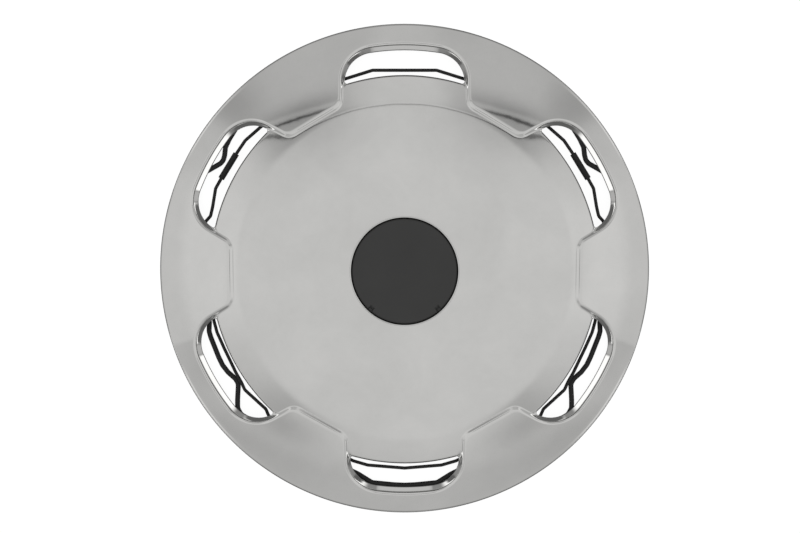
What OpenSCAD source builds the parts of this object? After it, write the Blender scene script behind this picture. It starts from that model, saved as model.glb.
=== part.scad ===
// Wheel cover for a commercial vehicle: one pressed stainless sheet with six
// windows, a black snap-in centre cap, and behind it the sprung wires that
// grip the wheel. Millimetres. +Z is the outboard side, and z = 0 is the
// plane of the rolled rim that the cover lies on.

/* [Cover sheet] */
// Outside diameter over the rolled rim
cover_d = 570; // [566:1:576]
// Thickness of the pressed sheet
sheet_t = 1.2; // [0.8:0.1:1.4]
// Height at which the outer band meets the rim's shoulder
rim_h = 6.3; // [6.3:0.1:7.5]
// Radius of the rim's shoulder
rim_r = 5; // [4:0.5:5]
// Radius of the curl at the foot of the rim
curl_r = 1.8; // [1.5:0.1:1.8]
// Width of the flat hem turned in under the rim
hem_w = 3.6; // [2.5:0.1:5]
// Rise over run of the outer band at the rim
band_slope = 0.5386; // [0.5:0.01:0.58]

/* [Windows] */
// Radius of the windows' outer side, at the bend
window_r = 260.4; // [260:0.2:261]
// Half of a window lobe's width, at the bend
lobe_w = 69.3; // [68.5:0.1:70.1]
// Radius of a lobe's outer corners
lobe_corner_r = 40.8; // [39.6:0.1:41]
// Distance of the flat tongue tips from the centre
tongue_r = 198; // [196:0.5:200]
// Radius where a lobe's side runs into a tongue tip
tongue_fillet_r = 13; // [11:0.5:14]
// Width of the turned-down wall along the windows' outer side, in plan
wall_w = 7; // [6.6:0.1:7.2]
// Width of the turned-down wall along the windows' sides, in plan
wall_side_w = 5; // [4.6:0.1:5.4]
// Fall over run of that wall
wall_slope = 1.8; // [1.7:0.05:1.85]
// Radius of the dish's edge in the windows
edge_r = 223.5; // [223:0.1:224]
// Corner radius of the punched windows at the dish's edge
punch_r = 2.5; // [2:0.1:3]
// Angle by which the side windows, and the tongues beside them, are turned up
side_turn = 0.9; // [0:0.05:1.2]
// Angle by which the two halves of the top window are turned apart
top_turn = 1.1; // [0:0.05:1.4]
// Angle by which the two halves of the bottom window are turned together
bottom_turn = 0.45; // [0:0.05:0.8]

/* [Dish] */
// How far the dish's edge lies below the outer band
dish_step = 4; // [3.6:0.1:5]
// Rise over run of the dish beside the cap
slope_in = 0.20; // [0.16:0.01:0.24]
// Rise over run of the dish inside the crease
slope_mid = 0.29; // [0.26:0.01:0.32]
// Rise over run of the dish outside the crease
slope_out = 0.37; // [0.34:0.01:0.40]
// Depth of the recess that the cap sits in
seat_deep = 5; // [4:0.1:6]

/* [Centre cap] */
// Diameter of the centre cap
cap_d = 118; // [117:0.2:118.6]
// Height of the cap's rim over its seat
cap_h = 5; // [4.5:0.1:6]
// Rise of the cap's face from rim to middle
cap_crown = 3; // [1:0.5:4]
// Width of the two pry notches in the cap's rim
notch_w = 5.5; // [4:0.5:8]

/* [Wires] */
// Diameter of the clamp wire
clamp_wire_d = 5.5; // [5:0.1:5.6]
// Diameter of the ring wire
ring_wire_d = 3.5; // [3:0.1:3.6]
// Outside diameter of the sleeves on the ring wire
sleeve_d = 6.8; // [6.4:0.1:7]
// Length of a sleeve
sleeve_l = 34; // [28:1:34]
// Thickness of the wire brackets
bracket_t = 2; // [1.5:0.1:2]

/* [Hidden] */

steel = "silver";
black = [0.1, 0.1, 0.1];
rim_rad = cover_d / 2;
lean = atan(band_slope);
// the band starts where the rim's shoulder ends
band_r = rim_rad - rim_r * (1 - sin(lean));
shoulder_z = rim_h - rim_r * cos(lean);
band_q = 0.00133;
bend_soft = 3.8;
foot_soft = 3;
bend_half = 1.8;
edge_roll_w = 2.6;
edge_roll = 0.4;
apron_slope = 0.75;
crease_in = 188;
crease_out = 196;
slope_edge = slope_out + 0.03;
dome_r = 62.5;
dish_r = 184;
seat_r = cap_d / 2 + 0.8;
hole_r = 55;
clamp_z = 4.4;
ring_z = 9.6;

// ---- heights of the sheet's outer face ----
function smax(a, b, k) = max(a, b) + pow(max(k - abs(a - b), 0), 2) / (4 * k);
function band_z(r) = rim_h + band_slope * (band_r - r) - band_q * pow(band_r - r, 2);
edge_z = band_z(edge_r) - dish_step;
// rise between r and r1 of a stretch whose slope goes from s0 at r0 to s1 at r1
function stretch(r0, s0, r1, s1, r) =
    let (a = max(r, r0))
    a >= r1 ? 0 : (s0 + (s1 - s0) * (a - r0) / (r1 - r0) + s1) / 2 * (r1 - a);
function roll(r) = edge_roll * pow(min(max(r - edge_r + edge_roll_w, 0), edge_roll_w), 2);
function floor_z(r) = r >= edge_r
    ? edge_z - roll(r) - apron_slope * (r - edge_r)
    : edge_z - roll(r)
      + stretch(crease_out, slope_out, edge_r, slope_edge, r)
      + stretch(crease_in, slope_mid, crease_out, slope_out, r)
      + stretch(dome_r, slope_in, crease_in, slope_mid, r);
function drop(d) = smax(0, wall_slope * d, bend_soft);
function skin_z(r, d) = smax(band_z(r) - drop(d), floor_z(r), foot_soft);
dome_z = floor_z(dome_r);
seat_z = dome_z - seat_deep;

// ---- the lobed outline, from a window's middle (u = 0) to a tongue's ----
corner_u = lobe_w - lobe_corner_r;
corner_v = sqrt(pow(window_r - lobe_corner_r, 2) - pow(corner_u, 2));
corner_a = atan(corner_u / corner_v);
fil_u = lobe_w + tongue_fillet_r;
fil_v = (tongue_r + tongue_fillet_r - fil_u / 2) / cos(30);
punch_u = lobe_w - wall_side_w - punch_r;
punch_v = sqrt(pow(edge_r + punch_r, 2) - pow(punch_u, 2));
punch_a = 90 + atan(punch_u / punch_v);
side_v = min(punch_v, corner_v - 0.4);
function on_arc(a) = [window_r * sin(a), window_r * cos(a), -sin(a), -cos(a)];
function on_corner(a) = [corner_u + lobe_corner_r * sin(a), corner_v + lobe_corner_r * cos(a), -sin(a), -cos(a)];
function on_side(v) = [lobe_w, v, -1, 0];
function on_fillet(a) = [fil_u - tongue_fillet_r * cos(a), fil_v - tongue_fillet_r * sin(a), -cos(a), -sin(a)];
function on_tip(f) = let (a = on_fillet(60)) [a[0] + (tongue_r * 0.5 - a[0]) * f,
    a[1] + (tongue_r * cos(30) - a[1]) * f, -0.5, -cos(30)];
function on_punch(f) = [punch_u + punch_r * cos(punch_a * f), punch_v - punch_r * sin(punch_a * f)];
HALF = concat(
    [on_arc(0), on_arc(corner_a / 2), on_arc(corner_a)],
    [for (k = [1 : 4]) on_corner(corner_a + (90 - corner_a) * k / 4)],
    [on_side(side_v), on_side(punch_v - punch_r * 0.6)],
    [on_side(fil_v), on_fillet(30), on_fillet(60)],
    [on_tip(1)]);
HN = len(HALF) - 1;     // 12: the tongue's middle
HC = 8;                 // the window's corner
function polar_a(p) = atan2(p[0], p[1]);
function turn_a(i) = (polar_a(HALF[i]) + 30 * i / HN) / 2;

// width of the wall at a column, and its lower edge in a window
function wall_at(i) = i <= 2 ? wall_w : i >= 6 ? wall_side_w
    : wall_w + (wall_side_w - wall_w) * (i - 2) / 4;
function cut_pt(i) = i == HC ? on_punch(1 / 3)
    : [HALF[i][0] + wall_at(i) * HALF[i][2], HALF[i][1] + wall_at(i) * HALF[i][3]];
// the dish's edge in a window
edge_a = polar_a(on_punch(1));
function edge_pt(i) = i == HC ? on_punch(2 / 3) : i == HC - 1 ? on_punch(1)
    : let (a = edge_a * turn_a(i) / turn_a(HC - 1)) [edge_r * sin(a), edge_r * cos(a)];
function foot_pt(i) = [HALF[i][0] + 5 * HALF[i][2], HALF[i][1] + 5 * HALF[i][3]];

// rows from the hem, round the rim, over the band and the bend, to the cap's hole
function on_circle(i, r, z) = let (a = turn_a(i)) [r * sin(a), r * cos(a), z];
function mix(p, q, f) = [p[0] + (q[0] - p[0]) * f, p[1] + (q[1] - p[1]) * f];
function off_pt(i, d) = let (h = HALF[i], u = h[0] + d * h[2], v = h[1] + d * h[3]) [u, v, skin_z(norm([u, v]), d)];
function band_pt(i, f) = let (p = mix(on_circle(i, band_r, 0), off_pt(i, -bend_half), f)) [p[0], p[1], band_z(norm(p))];
function floor_pt(p) = [p[0], p[1], floor_z(norm([p[0], p[1]]))];
function dish_pt(i, f) =
    let (s = i <= HC ? edge_pt(i) : foot_pt(i), q = on_circle(i, dish_r, 0))
    let (a = polar_a(s) + (turn_a(i) - polar_a(s)) * f, r = norm([s[0], s[1]]) + (dish_r - norm([s[0], s[1]])) * f)
    floor_pt([r * sin(a), r * cos(a)]);
function column(i) = concat(
    [on_circle(i, rim_rad - curl_r - hem_w, 0), on_circle(i, rim_rad - curl_r, 0),
     on_circle(i, rim_rad, shoulder_z),
     on_circle(i, rim_rad - rim_r + rim_r * cos((90 - lean) / 2), shoulder_z + rim_r * sin((90 - lean) / 2)),
     on_circle(i, band_r, rim_h)],
    [band_pt(i, 0.39), band_pt(i, 0.73)],
    [off_pt(i, -bend_half), off_pt(i, 0), off_pt(i, bend_half)],
    [i <= HC ? let (p = cut_pt(i)) [p[0], p[1], skin_z(norm(p), wall_at(i))] : off_pt(i, 3.4)],
    [dish_pt(i, 0), dish_pt(i, 0.053), dish_pt(i, 0.45), dish_pt(i, 1)],
    [on_circle(i, 120, floor_z(120)), on_circle(i, dome_r, dome_z),
     on_circle(i, dome_r - 1.6, dome_z - 0.7), on_circle(i, seat_r, seat_z),
     on_circle(i, hole_r, seat_z)]);
JG = 10;                // the row at the wall's lower edge; the window is after it
HALF_COL = [for (i = [0 : HN]) column(i)];
JN = len(HALF_COL[0]);
// columns all the way round, six windows at about 30, 90, ... 330 degrees
function turn_of(a, m) =
    let (side = a == 90 ? sign(m) : a == 270 ? -sign(m) : a > 90 && a < 270 ? 1 : -1)
    side * (m == -HN ? side_turn : a == 90 ? top_turn : a == 270 ? bottom_turn : side_turn);
COLS = [for (a = [30 : 60 : 330], m = [-HN : HN - 1]) [a + turn_of(a, m), m]];
CN = len(COLS);
function place(p, a, s) = [p[1] * cos(a) - s * p[0] * sin(a), p[1] * sin(a) + s * p[0] * cos(a), p[2]];
TOP = [for (c = COLS) [for (p = HALF_COL[abs(c[1])]) place(p, c[0], c[1] < 0 ? -1 : 1)]];
function in_window(i) = abs(COLS[i % CN][1]) < HC;
function at_window(i) = abs(COLS[i % CN][1]) <= HC;
function normal_at(i, j) =
    let (gap = in_window(i),
         ja = j == 0 || (gap && j == JG + 1) ? j : j - 1,
         jb = j == JN - 1 || (gap && j == JG) ? j : j + 1,
         n = cross(TOP[(i + 1) % CN][j] - TOP[(i + CN - 1) % CN][j], TOP[i][jb] - TOP[i][ja]))
    n / norm(n);
BACK = [for (i = [0 : CN - 1]) [for (j = [0 : JN - 1]) TOP[i][j] - sheet_t * (j < 2 ? [0, 0, -1] : j == JN - 1 ? [0, 0, 1] : normal_at(i, j))]];

module cover_shell() {
    t = function (i, j) (i % CN) * JN + j;
    b = function (i, j) CN * JN + (i % CN) * JN + j;
    pts = concat([for (c = TOP, p = c) p], [for (c = BACK, p = c) p]);
    faces = [
        for (i = [0 : CN - 1], j = [0 : JN - 2])
            if (!(j == JG && at_window(i) && at_window(i + 1)))
                each [[t(i, j), t(i, j + 1), t(i + 1, j + 1)], [t(i, j), t(i + 1, j + 1), t(i + 1, j)],
                      [b(i, j), b(i + 1, j + 1), b(i, j + 1)], [b(i, j), b(i + 1, j), b(i + 1, j + 1)]],
        // the hem's edge and the cap hole's edge
        for (i = [0 : CN - 1])
            each [[t(i, 0), t(i + 1, 0), b(i + 1, 0)], [t(i, 0), b(i + 1, 0), b(i, 0)],
                  [t(i, JN - 1), b(i + 1, JN - 1), t(i + 1, JN - 1)], [t(i, JN - 1), b(i, JN - 1), b(i + 1, JN - 1)]],
        // the punched edges of the windows
        for (i = [0 : CN - 1])
            if (at_window(i) && at_window(i + 1))
                each [[t(i, JG), b(i + 1, JG), t(i + 1, JG)], [t(i, JG), b(i, JG), b(i + 1, JG)],
                      [t(i, JG + 1), t(i + 1, JG + 1), b(i + 1, JG + 1)], [t(i, JG + 1), b(i + 1, JG + 1), b(i, JG + 1)]],
        for (i = [0 : CN - 1])
            if (COLS[i][1] == -HC)
                each [[t(i, JG), t(i, JG + 1), b(i, JG + 1)], [t(i, JG), b(i, JG + 1), b(i, JG)]],
        for (i = [0 : CN - 1])
            if (COLS[i][1] == HC)
                each [[t(i, JG), b(i, JG + 1), t(i, JG + 1)], [t(i, JG), b(i, JG), b(i, JG + 1)]]
    ];
    color(steel) polyhedron(points = pts, faces = faces, convexity = 12);
}

// ---- centre cap: one moulding, with legs that snap in behind the sheet ----
module centre_cap() {
    r = cap_d / 2;
    wall = 2.4;
    round_r = 3;
    face_r = r - round_r * (1 - cos(84));
    leg_r = hole_r - 0.5;
    color(black)
    difference() {
        union() {
            // crowned face on a short rim
            translate([0, 0, seat_z])
            rotate_extrude($fn = 128)
                polygon(concat(
                    [[0, cap_h - wall + 0.8 * cap_crown], [r - 6, cap_h - wall], [r - 6, 0], [r, 0]],
                    [for (a = [0, 28, 56, 84]) [r - round_r * (1 - cos(a)), cap_h - round_r * (1 - sin(a))]],
                    [for (k = [3 : -1 : 0]) [face_r * k / 4, cap_h + cap_crown * (1 - k * k / 16)]]));
            // ring of legs through the hole, with a barb under the sheet
            translate([0, 0, seat_z])
            difference() {
                rotate_extrude($fn = 128)
                    polygon([[leg_r - 2, cap_h - wall + 0.6], [leg_r, cap_h - wall + 0.6], [leg_r, -sheet_t - 0.3],
                             [hole_r + 0.9, -sheet_t - 1], [hole_r + 0.9, -sheet_t - 2], [leg_r, -8], [leg_r - 2, -8]]);
                for (a = [0 : 45 : 135])
                    rotate([0, 0, a + 22.5]) translate([0, 0, -5.5]) cube([150, 26, 13], center = true);
            }
        }
        // two notches to pry it off with
        for (a = [-133, -47])
            rotate([0, 0, a]) translate([r - 3.4, -notch_w / 2, seat_z + cap_h - 3.2]) cube([10, notch_w, 10]);
    }
}

// ---- wires ----
// a point behind the tongue at angle a: distance r along its axis, s across it
function behind(a, r, s) = [r * cos(a) - s * sin(a), r * sin(a) + s * cos(a)];
lower_r = [225, 238];   // ring wire and clamp wire at the lower tongues
side_r = [227, 238];    // at the side tongues
upper_r = [225, 262];   // at the upper tongues
left = 180 + side_turn;             // the tongues' axes, and the brackets'
upper_left = 120 + side_turn;
lower_left = 240 + side_turn;
CLAMP_LEFT = concat(
    [[0, -252.5], [-12, -252], [-38, -249.5], [-54, -239.5], behind(lower_left, lower_r[1], 20), behind(lower_left, lower_r[1], -20),
     [-185, -173], [-191, -169.5], [-195, -162], [-195, -152], [-194, -133.5], [-197.5, -127.5], [-206, -120],
     [-212.5, -111.5], [-217, -102], [-226, -79], [-228, -72], [-227.5, -62], [-229, -50]],
    [behind(left, side_r[1], 20), behind(left, side_r[1], -20)],
    [[-243, 60], [-246, 96], [-242, 107], [-226.5, 116], [-214, 123], [-210.5, 127], [-209, 133], [-208, 142],
     [-203.5, 151.5], [-176, 196], behind(upper_left, upper_r[1], 20), behind(upper_left, upper_r[1], -20),
     [-76, 253], [-38, 262], [0, 265]]);
SLEEVE_A = [-195, 134];
SLEEVE_B = [-212.5, 105.5];
LOWER_LEFT = concat(
    [(SLEEVE_A + SLEEVE_B) / 2, SLEEVE_B, [-219, 94], [-222.5, 73], [-225, 62], [-231.5, 55]],
    [behind(left, side_r[0], -20), behind(left, side_r[0], 20)],
    [[-221.5, -60], [-218, -73], [-210, -91], [-196, -120.5], [-190, -131], [-186, -140], [-173.5, -151.5],
     [-161.5, -162.5], [-158, -171], behind(lower_left, lower_r[0], -20), behind(lower_left, lower_r[0], 20),
     [-60, -223], [-43, -228], [0, -231.5]]);
UPPER_LEFT = [(SLEEVE_A + SLEEVE_B) / 2, SLEEVE_A, [-184.5, 149.5], [-165.5, 166],
              behind(upper_left, upper_r[0], 20), behind(upper_left, upper_r[0], -20), [-69, 220.5], [-37, 230.5]];
function flip(p) = [-p[0], p[1]];
function both_sides(half) = concat(half, [for (i = [len(half) - 2 : -1 : 0]) flip(half[i])]);
function unit(v) = v / norm(v);
// each clear bend becomes two points
function soften(p, closed) = let (n = len(p)) [
    for (i = [0 : n - 1])
        if (!closed && (i == 0 || i == n - 1)) p[i]
        else let (a = p[(i + n - 1) % n], b = p[(i + 1) % n], u = unit(p[i] - a), v = unit(b - p[i]),
                  c = min(4, norm(p[i] - a) * 0.35, norm(b - p[i]) * 0.35))
            each (u * v > cos(9) ? [p[i]] : [p[i] - u * c, p[i] + v * c])];
module tube(path, z, r, closed) {
    n = len(path);
    m = 10;
    side = function (i) let (
        u = unit(path[i] - path[(i + n - 1) % n]), v = unit(path[(i + 1) % n] - path[i]),
        w = !closed && i == 0 ? v : !closed && i == n - 1 ? u : unit(u + v),
        k = !closed && (i == 0 || i == n - 1) ? 1 : 1 / (w * u))
        [w[1], -w[0]] * k;
    pts = [for (i = [0 : n - 1]) let (s = side(i)) for (k = [0 : m - 1])
           let (a = 360 * k / m + 18) [path[i][0] + s[0] * r * cos(a), path[i][1] + s[1] * r * cos(a), z + r * sin(a)]];
    wall = [for (i = [0 : n - (closed ? 1 : 2)], k = [0 : m - 1]) let (i2 = (i + 1) % n, k2 = (k + 1) % m)
            each [[i * m + k, i2 * m + k2, i2 * m + k], [i * m + k, i * m + k2, i2 * m + k2]]];
    caps = closed ? [] : [[for (k = [m - 1 : -1 : 0]) k], [for (k = [0 : m - 1]) (n - 1) * m + k]];
    color(black) polyhedron(points = pts, faces = concat(wall, caps), convexity = 8);
}
CLAMP_LOOP = concat(CLAMP_LEFT, [for (i = [len(CLAMP_LEFT) - 2 : -1 : 1]) flip(CLAMP_LEFT[i])]);
module clamp_wire() { tube(soften(CLAMP_LOOP, true), clamp_z, clamp_wire_d / 2, true); }
module upper_ring_wire() { tube(soften(concat(UPPER_LEFT, [for (i = [len(UPPER_LEFT) - 1 : -1 : 0]) flip(UPPER_LEFT[i])]), false), ring_z, ring_wire_d / 2, false); }
module lower_ring_wire() { tube(soften(both_sides(LOWER_LEFT), false), ring_z, ring_wire_d / 2, false); }

// sleeve crimped over the joint of the ring wire's halves
module sleeve() {
    mid = (SLEEVE_A + SLEEVE_B) / 2;
    r = sleeve_d / 2;
    h = sleeve_l / 2;
    ri = ring_wire_d / 2 + 0.1;
    color(black)
    translate([mid[0], mid[1], ring_z])
    rotate([0, 0, atan2(SLEEVE_A[1] - SLEEVE_B[1], SLEEVE_A[0] - SLEEVE_B[0])])
    rotate([0, 90, 0])
    rotate_extrude($fn = 48)
        polygon([[ri, -h], [r - 0.5, -h], [r, -h + 0.5], [r, -h + 6], [r - 0.4, -h + 7], [r - 0.4, -h + 10], [r, -h + 11],
                 [r, h - 11], [r - 0.4, h - 10], [r - 0.4, h - 7], [r, h - 6], [r, h - 0.5], [r - 0.5, h], [ri, h]]);
}
module left_sleeve() { sleeve(); }
module right_sleeve() { mirror([1, 0, 0]) sleeve(); }

// ---- bracket behind a tongue: a foot under the band, bent down to an ear that both wires pass through ----
foot_in = 222;
foot_out = 250;
bend_r = 1.5;
function under_z(r) = band_z(r) - sheet_t * sqrt(1 + pow(band_slope - 2 * band_q * (band_r - r), 2)) - 0.35;
function foot_z(r) = under_z(foot_in) + (under_z(foot_out) - under_z(foot_in)) * (r - foot_in) / (foot_out - foot_in);
module bracket(a, at) {
    tilt = atan((under_z(foot_in) - under_z(foot_out)) / (foot_out - foot_in));
    drop = bracket_t / cos(tilt);
    color(steel)
    rotate([0, 0, a])
    difference() {
        union() {
            // foot
            translate([0, 8, 0]) rotate([90, 0, 0]) linear_extrude(height = 16)
                polygon([[foot_in, foot_z(foot_in)], [foot_out, foot_z(foot_out)],
                         [foot_out, foot_z(foot_out) - drop], [foot_in, foot_z(foot_in) - drop]]);
            // ear
            translate([0, -8 + bracket_t, 0]) rotate([90, 0, 0]) linear_extrude(height = bracket_t)
                polygon([[foot_in + 0.5, foot_z(foot_in + 0.5) - drop / 2], [foot_out - 1, foot_z(foot_out - 1) - drop / 2],
                         [foot_out - 0.5, foot_z(foot_out) - drop - 0.5],
                         [at[1] + 6, 9.5], [at[1] + 6.5, 5], [at[1] + 3.5, 1], [at[1] - 3.5, 1],
                         [at[0] - 4, 5], [at[0] - 5.5, 9.6], [foot_in - 0.5, 15]]);
        }
        // bend
        translate([foot_in, -8, foot_z(foot_in)]) rotate([0, tilt, 0])
            for (b = [22.5, 45, 67.5])
                rotate([b, 0, 0]) translate([-20, -5, bend_r * (1 - sin(b) - cos(b))]) cube([90, 10, 5]);
        translate([at[0], 0, ring_z]) rotate([90, 0, 0]) cylinder(r = ring_wire_d / 2 + 0.15, h = 40, center = true, $fn = 48);
        translate([at[1], 0, clamp_z]) rotate([90, 0, 0]) cylinder(r = clamp_wire_d / 2 + 0.15, h = 40, center = true, $fn = 48);
    }
}
module bracket_left() { bracket(left, side_r); }
module bracket_upper_left() { bracket(upper_left, upper_r); }
module bracket_lower_left() { bracket(lower_left, lower_r); }
module bracket_right() { mirror([1, 0, 0]) bracket(left, side_r); }
module bracket_upper_right() { mirror([1, 0, 0]) bracket(upper_left, upper_r); }
module bracket_lower_right() { mirror([1, 0, 0]) bracket(lower_left, lower_r); }

cover_shell();
centre_cap();
clamp_wire();
upper_ring_wire();
lower_ring_wire();
left_sleeve();
right_sleeve();
bracket_right();
bracket_upper_right();
bracket_upper_left();
bracket_left();
bracket_lower_left();
bracket_lower_right();
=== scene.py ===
import math

import bmesh
import bpy
import numpy as np
from mathutils import Matrix, Vector


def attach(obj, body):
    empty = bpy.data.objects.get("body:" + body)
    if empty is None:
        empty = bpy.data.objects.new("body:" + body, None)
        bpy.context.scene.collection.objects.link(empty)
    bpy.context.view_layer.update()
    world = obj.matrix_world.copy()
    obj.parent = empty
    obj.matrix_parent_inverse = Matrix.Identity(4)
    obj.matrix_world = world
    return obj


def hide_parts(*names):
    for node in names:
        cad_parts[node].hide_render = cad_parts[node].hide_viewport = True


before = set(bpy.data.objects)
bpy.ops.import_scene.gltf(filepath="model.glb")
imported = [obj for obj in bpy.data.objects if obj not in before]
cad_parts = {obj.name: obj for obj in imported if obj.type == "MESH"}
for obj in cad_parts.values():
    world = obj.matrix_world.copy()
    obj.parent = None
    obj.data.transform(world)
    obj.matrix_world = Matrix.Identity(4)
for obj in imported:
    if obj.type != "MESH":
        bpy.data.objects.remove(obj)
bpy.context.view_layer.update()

pi = math.pi
MM = 0.001

# ------------------------------------------------------------------ sizes, in millimetres, as in the part's source
R = 285.0
T = 1.2
RIM_H, RIM_R, CURL, HEM = 6.3, 5.0, 1.8, 3.6
SLOPE, QUAD = 0.5386, 0.00133
WIN_R, LOBE_W, LOBE_C, TONGUE_R, TONGUE_F = 260.4, 69.3, 40.8, 198.0, 13.0
WALL_W, WALL_S, WALL_K = 7.0, 5.0, 1.8
EDGE_R, PUNCH = 223.5, 2.5
SIDE_TURN, TOP_TURN, BOTTOM_TURN = 0.9, 1.1, 0.45
STEP, S_IN, S_MID, S_OUT, SEAT_DEEP = 4.0, 0.20, 0.29, 0.37, 5.0
CAP_D, CAP_H, CROWN, NOTCH = 118.0, 5.0, 3.0, 5.5
LEAN = math.atan(SLOPE)
BAND_R = R - RIM_R * (1 - math.sin(LEAN))
SHOULDER_Z = RIM_H - RIM_R * math.cos(LEAN)
BEND, FOOT, HALF_BEND = 3.8, 3.0, 1.8
ROLL_W, ROLL = 2.6, 0.4
APRON = 0.75
CREASE_IN, CREASE_OUT, S_EDGE = 188.0, 196.0, S_OUT + 0.03
DOME_R, DISH_R, HOLE_R = 62.5, 184.0, 55.0
CLAMP_Z, RING_Z, CLAMP_D, RING_D, SLEEVE_D, SLEEVE_L = 4.4, 9.6, 5.5, 3.5, 6.8, 34.0


def smax(a, b, k):
    return np.maximum(a, b) + np.maximum(k - np.abs(a - b), 0) ** 2 / (4 * k)


def band_z(r):
    return RIM_H + SLOPE * (BAND_R - r) - QUAD * (BAND_R - r) ** 2


EDGE_Z = float(band_z(EDGE_R)) - STEP


def stretch(r0, s0, r1, s1, r):
    a = np.maximum(r, r0)
    return np.where(a >= r1, 0.0, (s0 + (s1 - s0) * (a - r0) / (r1 - r0) + s1) / 2 * (r1 - a))


def floor_z(r):
    r = np.asarray(r, float)
    roll = ROLL * np.clip(r - EDGE_R + ROLL_W, 0, ROLL_W) ** 2
    inner = (stretch(CREASE_OUT, S_OUT, EDGE_R, S_EDGE, r) + stretch(CREASE_IN, S_MID, CREASE_OUT, S_OUT, r)
             + stretch(DOME_R, S_IN, CREASE_IN, S_MID, r))
    return np.where(r >= EDGE_R, EDGE_Z - roll - APRON * (r - EDGE_R), EDGE_Z - roll + inner)


def skin_z(r, d):
    return smax(band_z(r) - smax(0 * d, WALL_K * d, BEND), floor_z(r), FOOT)


DOME_Z = float(floor_z(DOME_R))
SEAT_Z = DOME_Z - SEAT_DEEP

# ------------------------------------------------------------------ mesh helpers


def new_object(name, verts, faces, material, body="root", replaces=(), sharp=40, smooth=True):
    """A piece from points in millimetres."""
    me = bpy.data.meshes.new(name)
    me.from_pydata([tuple(v) for v in np.asarray(verts, float) * MM], [], [tuple(int(i) for i in f) for f in faces])
    me.update()
    me.validate()
    if smooth:
        me.shade_smooth()
        me.set_sharp_from_angle(angle=math.radians(sharp))
    me.materials.append(material)
    ob = bpy.data.objects.new(name, me)
    bpy.context.scene.collection.objects.link(ob)
    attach(ob, body)
    if replaces:
        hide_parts(*replaces)
    return ob


# ------------------------------------------------------------------ materials


def material(name):
    m = bpy.data.materials.new(name)
    m.use_nodes = True
    nt = m.node_tree
    for n in list(nt.nodes):
        nt.nodes.remove(n)
    out = nt.nodes.new("ShaderNodeOutputMaterial")
    bsdf = nt.nodes.new("ShaderNodeBsdfPrincipled")
    nt.links.new(bsdf.outputs[0], out.inputs[0])
    return m, nt, bsdf


def node(nt, kind, inputs=None, **props):
    n = nt.nodes.new(kind)
    for k, v in props.items():
        setattr(n, k, v)
    for k, v in (inputs or {}).items():
        if isinstance(v, bpy.types.NodeSocket):
            nt.links.new(v, n.inputs[k])
        else:
            n.inputs[k].default_value = v
    return n


def ramp(nt, fac, stops, kind="LINEAR"):
    n = nt.nodes.new("ShaderNodeValToRGB")
    n.color_ramp.interpolation = kind
    el = n.color_ramp.elements
    while len(el) > 1:
        el.remove(el[-1])
    el[0].position = stops[0][0]
    el[0].color = tuple(stops[0][1]) + (1.0,)
    for p, c in stops[1:]:
        e = el.new(p)
        e.color = tuple(c) + (1.0,)
    nt.links.new(fac, n.inputs[0])
    return n.outputs[0]


def grey(v):
    return (v, v, v)


def noise(nt, vec, scale, detail=3.0, rough=0.5, dist=0.0):
    return node(nt, "ShaderNodeTexNoise", {"Vector": vec, "Scale": scale, "Detail": detail, "Roughness": rough, "Distortion": dist}).outputs[0]


def math_node(nt, op, a, b=None, clamp=False):
    n = nt.nodes.new("ShaderNodeMath")
    n.operation = op
    n.use_clamp = clamp
    for i, v in enumerate((a, b)):
        if v is None:
            continue
        if isinstance(v, bpy.types.NodeSocket):
            nt.links.new(v, n.inputs[i])
        else:
            n.inputs[i].default_value = v
    return n.outputs[0]


def object_coords(nt):
    return node(nt, "ShaderNodeTexCoord").outputs["Object"]


def polished_steel():
    m, nt, b = material("polished_stainless")
    co = object_coords(nt)
    b.inputs["Metallic"].default_value = 1.0
    cloud = noise(nt, co, 14.0, 4.0, 0.55, 0.4)
    fine = noise(nt, co, 90.0, 3.0, 0.6)
    mix = math_node(nt, "ADD", math_node(nt, "MULTIPLY", cloud, 0.8), math_node(nt, "MULTIPLY", fine, 0.2))
    col = ramp(nt, mix, [(0.30, (0.585, 0.583, 0.573)), (0.50, (0.612, 0.610, 0.601)), (0.70, (0.640, 0.637, 0.627))])
    nt.links.new(col, b.inputs["Base Color"])
    # hair-fine polishing marks round the centre
    sep = node(nt, "ShaderNodeSeparateXYZ", {0: co})
    rad = math_node(nt, "POWER", math_node(nt, "ADD", math_node(nt, "MULTIPLY", sep.outputs[0], sep.outputs[0]),
                                            math_node(nt, "MULTIPLY", sep.outputs[1], sep.outputs[1])), 0.5)
    ang = math_node(nt, "ARCTAN2", sep.outputs[1], sep.outputs[0])
    polar = node(nt, "ShaderNodeCombineXYZ", {0: math_node(nt, "MULTIPLY", rad, 2600.0), 1: math_node(nt, "MULTIPLY", ang, 6.0), 2: 0.0}).outputs[0]
    hair = noise(nt, polar, 1.0, 2.0, 0.6)
    rough = math_node(nt, "ADD", math_node(nt, "MULTIPLY", cloud, 0.05), math_node(nt, "MULTIPLY", hair, 0.03))
    rough = math_node(nt, "ADD", rough, 0.012)
    nt.links.new(rough, b.inputs["Roughness"])
    bump = node(nt, "ShaderNodeBump", {"Height": noise(nt, co, 26.0, 3.0, 0.5), "Strength": 0.02, "Distance": 0.004})
    nt.links.new(bump.outputs[0], b.inputs["Normal"])
    return m


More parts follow.
